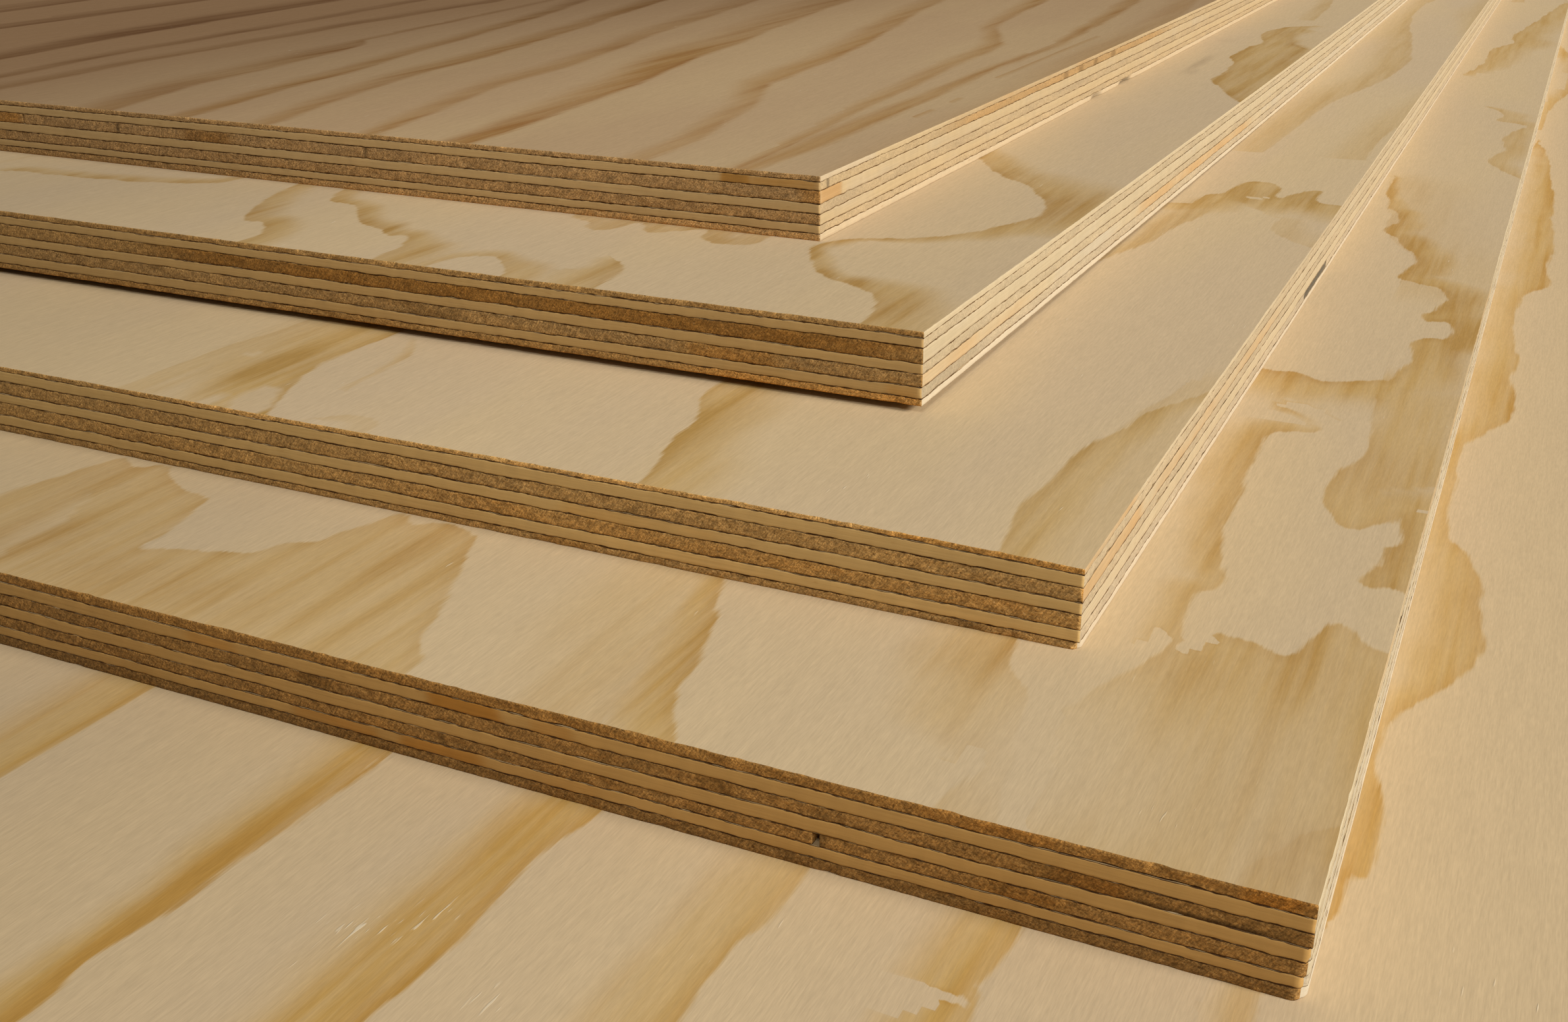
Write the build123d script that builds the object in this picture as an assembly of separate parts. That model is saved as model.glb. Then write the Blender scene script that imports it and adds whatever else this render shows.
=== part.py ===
"""Stack of five plywood sheets, seven pine veneers each, every sheet set back from the one below.

Millimetres. +Z is up, and the origin is the centre of the lowest sheet's underside.
The face grain runs along Y, the long side of the sheets, and the stepped corner faces -Y and +X.
"""

import os

from build123d import *

# A full panel, with its long side along Y
sheet_width = 1220.0
sheet_length = 2440.0

# Veneer thicknesses of each sheet, from the face down to the back
sheet_1_veneers = (1.8, 2.6, 3.2, 2.8, 3.2, 2.6, 1.8)
sheet_2_veneers = (2.3, 2.8, 2.8, 2.8, 2.6, 2.3, 2.4)
sheet_3_veneers = (1.2, 2.8, 3.4, 2.6, 3.5, 2.7, 1.8)
sheet_4_veneers = (1.5, 2.4, 3.7, 2.6, 3.3, 2.7, 1.8)
sheet_5_veneers = (1.5, 2.5, 3.6, 2.8, 3.2, 2.3, 2.1)

# How far the front right corner of each sheet lies from that of the sheet below: left, back
sheet_2_step = (62.0, 100.0)
sheet_3_step = (53.9, 61.3)
sheet_4_step = (57.8, 64.6)
sheet_5_step = (57.8, 69.4)

# Degrees that each sheet is turned about its front right corner, seen from above
sheet_2_turn = 0.41
sheet_3_turn = 0.37
sheet_4_turn = 0.19
sheet_5_turn = 0.2

# The two upper sheets are bowed: their front ends curl up off the flat sheets below
curl_height = 1.8
curl_reach = 600.0
curl_bends = 6

# Butt seams between two strips of one core veneer, from the sheet's right edge
sheet_5_seam_inset = 305.0
sheet_5_seam_width = 0.6
sheet_2_seam_inset = 80.0
sheet_2_seam_width = 1.2

# Core void that opens on the right edge of the third sheet, lens shaped
void_start = 260.0
void_length = 46.0
void_height = 1.5
void_depth = 35.0

# Splinter torn off the right edge of the top sheet's back veneer
splinter_start = 318.0
splinter_length = 26.0
splinter_depth = 1.6

# Front right corners knocked off the lowest veneers: along the front, along the right edge
sheet_3_corner_loss = (2.4, 3.5)
sheet_2_corner_loss = (3.6, 3.0)

# Spare length by which a cutting tool reaches past what it cuts
overcut = 5.0

# Veneers from the face down. The odd ones have their grain along the sheet, the even ones across
veneer_names = (
    "face_veneer",
    "upper_crossband",
    "upper_core",
    "middle_crossband",
    "lower_core",
    "lower_crossband",
    "back_veneer",
)


class Sheet:
    """One sheet: where it lies, what its veneers measure and whether its front end curls up."""

    def __init__(self, name, veneers, corner, turn, base, curled):
        self.name = name
        self.veneers = veneers
        self.base = base
        self.top = base + sum(veneers)
        self.corner = corner
        self.curled = curled
        self.place = Pos(corner[0], corner[1], 0) * Rot(0, 0, turn)

    def outline(self):
        """The sheet seen from above: its local origin is its front right corner."""
        return self.place * Pos(-sheet_width / 2, sheet_length / 2, 0) * Rectangle(sheet_width, sheet_length)

    def veneer_levels(self):
        """Name, underside and top of each veneer, from the face down."""
        top = self.top
        for name, thickness in zip(veneer_names, self.veneers):
            yield name, top - thickness, top
            top -= thickness

    def through_cut(self, plan_points):
        """A prism through the whole sheet, from a plan outline in the sheet's own coordinates."""
        plan = make_face(Polyline(*plan_points, close=True))
        height = self.top - self.base + curl_height + 2 * overcut
        return self.place * Pos(0, 0, self.base - overcut) * extrude(plan, height, dir=(0, 0, 1))


def stack_sheets():
    """The sheets from the floor up, each on the top of the one below."""
    rows = (
        ("sheet_1", sheet_1_veneers, (0, 0), 0.0, False),
        ("sheet_2", sheet_2_veneers, sheet_2_step, sheet_2_turn, False),
        ("sheet_3", sheet_3_veneers, sheet_3_step, sheet_3_turn, False),
        ("sheet_4", sheet_4_veneers, sheet_4_step, sheet_4_turn, True),
        ("sheet_5", sheet_5_veneers, sheet_5_step, sheet_5_turn, True),
    )
    corner_x = sheet_width / 2
    corner_y = -sheet_length / 2
    base = 0.0
    sheets = {}
    for name, veneers, step, turn, curled in rows:
        corner_x -= step[0]
        corner_y += step[1]
        sheets[name] = Sheet(name, veneers, (corner_x, corner_y), turn, base, curled)
        base = sheets[name].top
    return sheets


def curl_rise(share):
    """How far the curl has risen, from 0 at its start to curl_height at the front end."""
    return curl_height * share**2


def curled_slab(curl_start, back, underside, top):
    """A slab that is flat from the back to curl_start, then curls up in short flats.

    Both curled sheets bend at the same places, so the upper one lies flat on the lower one.
    """
    shares = [bend / curl_bends for bend in range(curl_bends + 1)]
    curl = [(curl_start - curl_reach * share, curl_rise(share)) for share in shares]
    (last_y, last_rise), (front_y, front_rise) = curl[-2:]
    curl.append((2 * front_y - last_y, 2 * front_rise - last_rise))
    upper = [(y, top + rise) for y, rise in curl]
    lower = [(y, underside + rise) for y, rise in reversed(curl)]
    section = make_face(Polyline((back, underside), (back, top), *upper, *lower, close=True))
    return extrude(Plane.YZ * section, 2 * sheet_width, dir=(1, 0, 0), both=True)


def veneer_solid(sheet, underside, top, curl_start):
    """One veneer of a sheet, before its seams and damage are cut."""
    plan = sheet.outline()
    if not sheet.curled:
        return extrude(Pos(0, 0, underside) * plan, top - underside, dir=(0, 0, 1))
    back = sheet.corner[1] + 1.5 * sheet_length
    slab = curled_slab(curl_start, back, underside, top)
    return slab & extrude(plan, sheet.top + curl_height + overcut, dir=(0, 0, 1))


def seam_slot(sheet, inset, width):
    """The gap between two strips of one veneer, along the whole sheet."""
    near = -overcut
    far = sheet_length + overcut
    left = -inset - width
    return sheet.through_cut([(left, near), (-inset, near), (-inset, far), (left, far)])


def corner_cut(sheet, loss):
    """A front right corner broken off along a slanted line."""
    along_front, along_side = loss
    return sheet.through_cut([(-along_front, -overcut), (overcut, -overcut), (overcut, along_side),
                              (0, along_side), (-along_front, 0)])


def splinter_cut(sheet):
    """A long shallow wedge torn out of the right edge, deepest near its front end."""
    deepest = splinter_start + splinter_length * 0.3
    end = splinter_start + splinter_length
    return sheet.through_cut([(0, splinter_start), (overcut, splinter_start), (overcut, end), (0, end),
                              (-splinter_depth, deepest)])


def void_cut(sheet, underside, top):
    """A lens between two arcs, open on the right edge and centred in its veneer."""
    level = (underside + top) / 2
    end = void_start + void_length
    middle = (void_start + end) / 2
    lens = ThreePointArc((void_start, level), (middle, level + void_height / 2), (end, level))
    lens += ThreePointArc((end, level), (middle, level - void_height / 2), (void_start, level))
    section = Plane.YZ * make_face(lens)
    return sheet.place * Pos(-void_depth, 0, 0) * extrude(section, void_depth + overcut, dir=(1, 0, 0))


def build_stack():
    """Every veneer of every sheet, by node name."""
    sheets = stack_sheets()
    curl_start = sheets["sheet_4"].corner[1] + curl_reach
    nodes = {}
    levels = {}
    for sheet in sheets.values():
        for veneer, underside, top in sheet.veneer_levels():
            node = f"{sheet.name}_{veneer}"
            nodes[node] = veneer_solid(sheet, underside, top, curl_start)
            levels[node] = (underside, top)

    top_sheet = sheets["sheet_5"]
    nodes["sheet_5_upper_core"] -= seam_slot(top_sheet, sheet_5_seam_inset, sheet_5_seam_width)
    nodes["sheet_5_back_veneer"] -= splinter_cut(top_sheet)

    third_sheet = sheets["sheet_3"]
    nodes["sheet_3_lower_crossband"] -= void_cut(third_sheet, *levels["sheet_3_lower_crossband"])
    nodes["sheet_3_back_veneer"] -= corner_cut(third_sheet, sheet_3_corner_loss)

    second_sheet = sheets["sheet_2"]
    nodes["sheet_2_lower_core"] -= seam_slot(second_sheet, sheet_2_seam_inset, sheet_2_seam_width)
    nodes["sheet_2_back_veneer"] -= corner_cut(second_sheet, sheet_2_corner_loss)
    return nodes


os.makedirs("parts", exist_ok=True)
for node_name, solid in build_stack().items():
    export_step(solid, f"parts/{node_name}.step")
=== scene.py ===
"""Looks for a stepped stack of five seven-veneer pine plywood sheets, seen from its front right corner."""

import math
from collections import namedtuple

import bpy
import numpy as np
from mathutils import Matrix, Vector
from mathutils.geometry import delaunay_2d_cdt


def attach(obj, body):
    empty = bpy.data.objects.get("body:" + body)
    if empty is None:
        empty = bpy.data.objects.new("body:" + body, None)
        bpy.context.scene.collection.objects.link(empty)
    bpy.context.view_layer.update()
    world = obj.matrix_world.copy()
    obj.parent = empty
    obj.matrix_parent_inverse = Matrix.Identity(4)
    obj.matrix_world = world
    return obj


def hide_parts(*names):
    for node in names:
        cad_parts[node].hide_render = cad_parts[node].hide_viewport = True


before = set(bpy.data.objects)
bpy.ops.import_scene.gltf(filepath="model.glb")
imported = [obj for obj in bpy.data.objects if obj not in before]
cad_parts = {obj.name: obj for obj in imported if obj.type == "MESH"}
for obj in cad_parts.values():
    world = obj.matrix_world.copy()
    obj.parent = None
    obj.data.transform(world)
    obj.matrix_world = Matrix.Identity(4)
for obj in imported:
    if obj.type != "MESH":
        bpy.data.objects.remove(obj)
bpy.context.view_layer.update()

MM = 0.001

# Heights and places that differ by less than these are the same, in metres
SAME_LEVEL = 1e-5
SAME_PLACE = 1e-7

SHEETS = ("sheet_1", "sheet_2", "sheet_3", "sheet_4", "sheet_5")
VENEERS = (
    "face_veneer",
    "upper_crossband",
    "upper_core",
    "middle_crossband",
    "lower_core",
    "lower_crossband",
    "back_veneer",
)
CURLED = ("sheet_4", "sheet_5")

# Beyond this share of its length every sheet is flat
FLAT_FROM = 0.9

# The sides of a sheet, counted anticlockwise from the front
FRONT, RIGHT, BACK, LEFT = range(4)
INWARD = np.array([(0, 1), (-1, 0), (0, -1), (1, 0)], float)

# Mesh spacing along the sides: (up to this far from the front right corner, step), in metres
FRONT_ZONES = ((0.43, 0.0007), (9.0, 0.009))
RIGHT_ZONES = ((0.16, 0.0008), (0.50, 0.0016), (1.30, 0.0035), (9.0, 0.010))
FAR_ZONES = ((9.0, 0.012),)
PLAIN_ZONES = ((9.0, 0.010),)

# Rows of points down a veneer's edge, as shares of its thickness
EDGE_ROWS = np.array([0.0, 0.14, 0.38, 0.62, 0.86, 1.0])

# Sawn edge relief, in metres
GLUE_WAVE = 0.00016
GLUE_RIPPLE = 0.00012
GLUE_GROOVE = 0.00010
END_ROUGHNESS = 0.00010
LONG_ROUGHNESS = 0.00002
TORN_DEPTH = 0.00022
ARRIS_WEAR = 0.00020
SAW_DRIFT = 0.00004
CORNER_RECESS = 0.00030
LEAST_RECESS = 0.00001

# The third sheet is pressed thinner towards its front right corner: how much, and over what distance
DROOP = 0.0009
DROOP_REACH = 0.035

# The distance to a contour, in metres, of points that no contour is near
NO_FIGURE = -0.020


class Noise:
    """Smooth seeded noise over a plane, from -1 to 1, with features about one unit wide."""

    CELLS = 256

    def __init__(self, seed):
        self.table = np.random.default_rng(seed).uniform(-1, 1, (self.CELLS, self.CELLS))

    def __call__(self, x, y):
        x, y = np.broadcast_arrays(np.asarray(x, float), np.asarray(y, float))
        column, row = np.floor(x).astype(int), np.floor(y).astype(int)
        fx, fy = x - column, y - row
        fx, fy = fx * fx * (3 - 2 * fx), fy * fy * (3 - 2 * fy)
        left, right = column % self.CELLS, (column + 1) % self.CELLS
        near, far = row % self.CELLS, (row + 1) % self.CELLS
        low = self.table[left, near] * (1 - fx) + self.table[right, near] * fx
        high = self.table[left, far] * (1 - fx) + self.table[right, far] * fx
        return low * (1 - fy) + high * fy


def ramp(value, start, end):
    """0 before start, 1 after end, smooth between."""
    share = np.clip((value - start) / (end - start), 0, 1)
    return share * share * (3 - 2 * share)


def node_points(node):
    """The corners of a CAD node, one row each."""
    return np.array([corner.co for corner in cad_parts[node].data.vertices], float)


class Sheet:
    """Where a sheet and its veneers lie, read from the frame.

    Its plan coordinates are u, negative to the left of the front right corner, and v, away from it.
    """

    def __init__(self, name):
        self.name = name
        self.number = int(name[-1])
        points = node_points(f"{name}_face_veneer")[:, :2]
        self.corner = points[np.argmax(points[:, 0] - points[:, 1])]
        front_left = points[np.argmin(points[:, 0] + points[:, 1])]
        back_right = points[np.argmax(points[:, 0] + points[:, 1])]
        self.width = np.linalg.norm(self.corner - front_left)
        self.length = np.linalg.norm(back_right - self.corner)
        self.right = (self.corner - front_left) / self.width
        self.away = (back_right - self.corner) / self.length
        self.levels = [self.flat_levels(veneer)[1] for veneer in VENEERS]
        self.levels.append(self.flat_levels(VENEERS[-1])[0])

    def flat_levels(self, veneer):
        """The underside and top of a veneer at the rear, where every sheet is flat."""
        points = node_points(f"{self.name}_{veneer}")
        rear = points[points[:, 1] > self.corner[1] + FLAT_FROM * self.length]
        return rear[:, 2].min(), rear[:, 2].max()

    def world(self, plan):
        """Plan coordinates turned into world x and y."""
        return self.corner + plan[:, :1] * self.right + plan[:, 1:] * self.away


sheets = {name: Sheet(name) for name in SHEETS}


def curl_profile():
    """The curl of the upper sheets' front ends: world y and rise, read from the fourth sheet's face."""
    points = node_points("sheet_4_face_veneer")
    top = points[points[:, 2] > sheets["sheet_4"].levels[0] - SAME_LEVEL]
    top = top[np.argsort(top[:, 1])]
    return top[:, 1], top[:, 2] - sheets["sheet_4"].levels[0]


curl_y, curl_rise = curl_profile()


def bent(sheet, points):
    """The points, lifted where their sheet's front end curls up and lowered where it is pressed thin."""
    if sheet.name in CURLED:
        points[:, 2] += np.interp(points[:, 1], curl_y, curl_rise)
    if sheet.name == "sheet_3":
        away = np.abs(points[:, :2] - sheet.corner).sum(axis=1)
        share = (points[:, 2] - sheet.levels[-1]) / (sheet.levels[0] - sheet.levels[-1])
        points[:, 2] -= DROOP * share * np.exp(-away / DROOP_REACH)
    return points


# The figure of the faces. Each latewood contour has a strength and a line of (x, y, fade width), in mm
# from the front right corner of the second sheet, and a point without a width keeps the one before. The
# band lies on the left of the line, sharp at the line itself and fading over the width. Two layers keep
# contours that meet apart.

SHEET_4_FIGURE = (
    (0.75, ((-455, 170, 9), (-420, 172, 10), (-397, 176), (-380, 185, 8), (-373, 200, 5))),
    (0.85, ((-359, 210, 10), (-350, 180, 11), (-340, 157, 12), (-332, 146), (-326, 146), (-317, 135),
            (-315, 118))),
    (0.85, ((-342, 210, 9), (-337, 196), (-328, 180), (-318, 178, 8), (-311, 172, 9), (-300, 160),
            (-291, 156), (-283, 149, 8), (-278, 151, 9), (-272, 143, 14), (-270, 138, 18),
            (-269, 118, 19))),
    (0.75, ((-252, 118, 6), (-250, 136, 7), (-245, 140, 8), (-240, 142), (-235, 138, 9), (-232, 135, 12),
            (-228, 128, 14), (-226, 118))),
    (0.75, ((-197, 118, 22), (-201, 135), (-204, 146, 18), (-209, 152, 8))),
    (0.70, ((-252, 210, 12), (-248, 191), (-240, 188), (-238, 182), (-232, 181), (-229, 185), (-227, 193),
            (-224, 192), (-221, 186), (-217, 184), (-212, 188), (-206, 193), (-204, 192), (-202, 185),
            (-197, 181), (-191, 180), (-186, 183), (-184, 190), (-184, 210))),
    (0.85, ((-176, 346, 8), (-170, 330, 14), (-161, 314, 18), (-154, 304, 20), (-146, 297, 24),
            (-137, 286, 30), (-130, 274, 34), (-126, 263), (-126, 251, 30), (-128, 240, 24),
            (-132, 233, 16), (-139, 219, 10), (-146, 211, 7), (-155, 207, 5), (-162, 203), (-166, 197, 6),
            (-169, 190), (-168, 184), (-161, 173, 7), (-155, 164), (-149, 159, 8), (-140, 155, 12),
            (-134, 150, 20), (-131, 141, 26), (-129, 131), (-129, 118))),
    (0.90, ((-132, 772, 8), (-143, 762, 30), (-148, 735, 40), (-147, 712), (-142, 690, 50),
            (-144, 665, 60), (-146, 645), (-144, 620), (-139, 600), (-138, 562), (-138, 545),
            (-130, 528, 50), (-122, 505, 40), (-112, 488, 30))),
    (0.95, ((-110, 664, 3), (-115, 671, 5), (-121, 681, 6), (-126, 693, 7), (-128, 706), (-130, 725, 5),
            (-131, 745, 3))),
)

SHEET_3_FIGURE = (
    (0.95, ((-246, 50, 34), (-249, 60), (-252, 67, 32), (-256, 74, 30), (-260, 82), (-263, 88, 32),
            (-264, 106, 34), (-263, 125), (-262, 150))),
    (0.50, ((-296, 150, 14), (-295, 119, 16), (-297, 90, 18), (-298, 77), (-297, 54))),
    (0.30, ((-219, 54, 9), (-222, 68), (-232, 70, 8), (-238, 64, 3))),
    (0.50, ((-245, 84, 3), (-246, 100), (-247, 112, 4), (-255, 124, 2))),
    (0.90, ((-166, 150, 20), (-164, 121, 21), (-160, 106), (-158, 94, 20), (-155, 82), (-151, 71),
            (-149, 54, 19))),
    (0.75, ((-52, 178, 5), (-60, 160, 8), (-65, 147, 11), (-67, 137, 13), (-71, 127, 15), (-72, 114, 16),
            (-73, 100, 17), (-73, 86, 18), (-72, 71, 19), (-70, 54, 20))),
    (0.30, ((-62, 170, 20), (-70, 125, 30), (-72, 100, 34), (-71, 54, 36))),
    (0.85, ((-48, 386, 26), (-57, 393, 28), (-65, 398, 30), (-66, 415, 34), (-71, 414, 36),
            (-76, 406, 34), (-79, 397), (-81, 411, 36), (-86, 421, 40), (-94, 420), (-96, 410, 36),
            (-99, 397, 32), (-104, 391, 26), (-105, 380, 20), (-107, 374, 18), (-120, 373, 16))),
    (0.65, ((-113, 284, 4), (-108, 300, 8), (-104, 320, 11), (-101, 345, 14), (-97, 363, 15),
            (-97, 378, 12))),
    (0.35, ((-72, 360, 10), (-71, 345, 16), (-64, 332), (-54, 324, 14))),
)

SHEET_2_FIGURE = (
    (0.72, ((-164, -12, 80), (-166, 5), (-169, 11), (-175, 25), (-180, 36), (-186, 48), (-189, 54),
            (-195, 59), (-202, 58), (-205, 55), (-209, 56), (-212, 60), (-215, 52), (-219, 46),
            (-220, 40), (-225, 36), (-229, 28), (-240, 25), (-248, 23), (-252, 21), (-252, 27),
            (-254, 36), (-256, 42), (-259, 48), (-266, 49), (-274, 53), (-280, 57, 70), (-282, 60, 60),
            (-286, 58), (-289, 55), (-293, 57, 50), (-296, 59, 40), (-299, 57, 34), (-302, 44, 30),
            (-305, 34), (-306, 12, 40), (-306, -12, 50))),
    (0.40, ((-120, -12, 26), (-126, 20, 28), (-131, 45), (-135, 76, 22))),
    (0.95, ((-106, -12, 14), (-109, 0), (-115, 11, 13), (-118, 23, 12), (-121, 37), (-125, 50),
            (-128, 60), (-133, 76))),
    (0.80, ((-46, -12, 8), (-49, 0), (-51, 9), (-52, 19, 14), (-55, 31, 24), (-59, 43), (-64, 51, 22),
            (-66, 60, 20), (-70, 74, 18))),
    (0.75, ((2, 24, 14), (-4, 19, 16), (-9, 13), (-12, 1), (-13, -10))),
    (0.90, ((-54, 545, 5), (-54, 513, 8), (-51, 499, 9), (-49, 481, 11), (-45, 473, 13), (-43, 456, 14),
            (-45, 444, 15), (-45, 437), (-40, 430, 16), (-36, 417, 18), (-31, 407), (-29, 396),
            (-31, 386, 20), (-33, 374), (-31, 369, 18), (-26, 367, 16), (-22, 364), (-19, 361, 17),
            (-15, 350, 19), (-16, 344, 20), (-16, 334, 22), (-20, 327), (-19, 320), (-16, 320),
            (-12, 323), (-10, 318), (-11, 304), (-16, 301), (-19, 294, 20), (-18, 277), (-19, 271, 22),
            (-21, 261, 24), (-24, 254, 26), (-31, 250, 28), (-36, 247), (-41, 248), (-46, 251),
            (-53, 250), (-62, 256))),
    (0.30, ((-54, 520, 40), (-47, 470, 44), (-42, 430), (-30, 400, 40), (-30, 370, 34))),
    (0.80, ((-38, 76, 9), (-39, 95), (-36, 99), (-35, 106), (-38, 113, 10), (-41, 129), (-42, 150, 12),
            (-43, 164, 14), (-44, 193), (-39, 200, 12), (-32, 203, 8), (-32, 210, 6), (-37, 216, 5),
            (-42, 219, 4))),
    (0.85, ((-22, 236, 30), (-21, 207, 34), (-20, 196, 36), (-21, 184, 38), (-25, 173, 40), (-26, 164),
            (-24, 156), (-21, 150, 36), (-18, 144, 34), (-15, 143, 32), (-12, 145, 30), (-9, 151, 28),
            (-7, 156, 24), (-6, 150, 22), (-6, 139), (-9, 136), (-9, 126), (-11, 119), (-11, 114, 20),
            (-7, 114, 18), (-4, 116, 16), (4, 112, 14))),
    (0.80, ((6, 82, 90), (-4, 86), (-9, 93), (-12, 95), (-14, 90), (-16, 80), (-19, 77), (-24, 80),
            (-33, 80), (-36, 78), (-40, 68), (-44, 56), (-50, 40), (-58, 10), (-60, -12))),
    (0.70, ((-34, 762, 3), (-22, 738, 14), (-24, 716, 16), (-10, 705, 14), (-14, 690), (-18, 660, 16),
            (-15, 633, 14), (-20, 600), (-12, 578, 8), (-2, 560, 4))),
    (0.85, ((-16, 1330, 20), (-27, 1200, 26), (-39, 1092, 28), (-35, 1050), (-47, 1008, 26),
            (-46, 942, 20), (-54, 880, 10))),
)

SHEET_1_FIGURE = (
    (0.95, ((-174, -110, 12), (-173, -86, 11), (-172, -69), (-171, -49, 12), (-170, -32, 14),
            (-169, -15, 16), (-170, 10, 18))),
    (0.95, ((-127, -110, 20), (-125, -60), (-124, -41), (-124, -18), (-122, 10))),
    (0.75, ((-82, -110, 16), (-83, -30), (-82, -18, 15), (-83, 10))),
    (0.85, ((-43, -110, 15), (-44, -25), (-46, -21, 14), (-44, -11, 15), (-43, 10))),
    (0.55, ((-10, -110, 6), (-7, -8, 7), (-4, 0, 8), (-3, 10))),
    (0.80, ((1, 24, 5), (1, 36, 6), (4, 39, 9), (5, 57), (2, 67, 8), (0, 75, 6), (0, 88), (4, 99, 10),
            (11, 111, 15), (14, 124, 19), (16, 137, 20), (14, 150, 19), (11, 169, 17), (9, 184, 14),
            (4, 191, 10), (2, 197, 8), (1, 206, 6), (2, 225), (1, 245), (1, 258), (2, 264, 8),
            (6, 274, 12), (10, 286, 15), (11, 300, 16), (11, 314), (8, 331, 15), (10, 349, 16),
            (9, 370, 15), (6, 391, 13), (6, 417), (9, 439, 16), (15, 453, 20), (16, 463), (14, 473, 19),
            (13, 491, 18), (14, 520), (12, 560, 16), (9, 640, 14), (3, 720, 9), (-4, 780, 5))),
)

# Pale islands inside the latewood: closed loops, in mm from the second sheet's corner
ISLANDS = {
    "sheet_3": (
        ((-265, 77), (-260, 77), (-256, 71), (-252, 64), (-254, 58), (-262, 60), (-266, 69)),
        ((-291, 90), (-290, 92), (-288, 66), (-289, 60)),
        ((-271, 67), (-268, 68), (-267, 60), (-272, 60)),
    ),
    "sheet_2": (
        ((-40, 224), (-35, 217), (-28, 205), (-33, 207), (-37, 214), (-42, 219)),
    ),
    "sheet_4": (
        ((-112, 668), (-119, 681), (-125, 694), (-127, 708), (-128, 730), (-124, 760), (-118, 790),
         (-100, 790), (-100, 668)),
    ),
}

# Spots where the latewood is deeper (above 0) or fades out (below 0): x, y, half width, half length, amount
SPOTS = {
    "sheet_1": ((-172, -40, 8, 60, 0.6), (-126, -45, 9, 50, 0.5), (12, 150, 10, 30, 0.35),
                (9, 300, 8, 40, 0.3), (13, 465, 8, 40, 0.4)),
    "sheet_2": ((-280, 14, 14, 16, 0.8), (-236, 8, 40, 12, 0.5), (-196, 45, 10, 20, 0.45),
                (-292, 42, 9, 22, 0.5), (-121, 35, 8, 40, 0.5), (-72, 50, 12, 14, 0.5),
                (-62, 20, 10, 5, 0.7), (-52, 10, 8, 14, 0.4), (-46, 250, 22, 10, 0.7),
                (-44, 455, 9, 28, 0.8), (-34, 425, 10, 26, 0.7), (-27, 390, 10, 24, 0.7),
                (-11, 350, 9, 22, 0.9), (-7, 312, 8, 40, 0.8), (-15, 180, 12, 22, 0.6),
                (-5, 128, 6, 20, 0.6), (-34, 62, 12, 12, 0.5), (-14, 72, 16, 14, 0.4),
                (-6, 8, 8, 14, 0.9), (-45, 150, 7, 60, 0.3), (-28, 222, 12, 16, -0.7),
                (-6, 480, 22, 70, -0.6), (-50, 22, 22, 42, -0.9), (-28, 15, 26, 26, -0.45),
                (-14, 40, 14, 18, -0.3)),
    "sheet_3": ((-274, 92, 9, 18, 0.9), (-258, 76, 8, 10, 0.5), (-252, 64, 6, 8, 0.5),
                (-292, 108, 6, 22, 0.4), (-153, 92, 7, 50, 0.7), (-88, 396, 10, 18, 0.7),
                (-70, 396, 7, 16, 0.7), (-103, 340, 8, 40, 0.5), (-71, 100, 4, 60, 0.4),
                (-75, 385, 30, 16, 0.2)),
    "sheet_4": ((-335, 158, 10, 16, 0.6), (-300, 158, 30, 12, 0.5), (-264, 135, 9, 14, 0.4),
                (-225, 144, 16, 8, 0.6), (-203, 138, 6, 12, 0.6), (-234, 190, 12, 10, 0.6),
                (-217, 192, 8, 10, 0.4), (-194, 190, 12, 10, 0.7), (-150, 160, 20, 10, 0.4),
                (-124, 142, 8, 16, 0.5), (-122, 265, 10, 26, 0.95), (-150, 305, 12, 16, 0.4),
                (-116, 510, 7, 26, 0.5), (-130, 570, 12, 50, 0.3), (-118, 640, 7, 40, 0.4),
                (-125, 690, 5, 16, 0.9), (-138, 735, 9, 30, 0.5), (-128, 330, 20, 40, -0.5)),
    "sheet_5": ((-295, 250, 14, 60, 0.7), (-300, 360, 18, 70, 0.5), (-385, 280, 14, 60, 0.4),
                (-452, 230, 18, 40, 0.6), (-476, 350, 16, 34, 0.6), (-590, 400, 20, 160, 0.7)),
}

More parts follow.
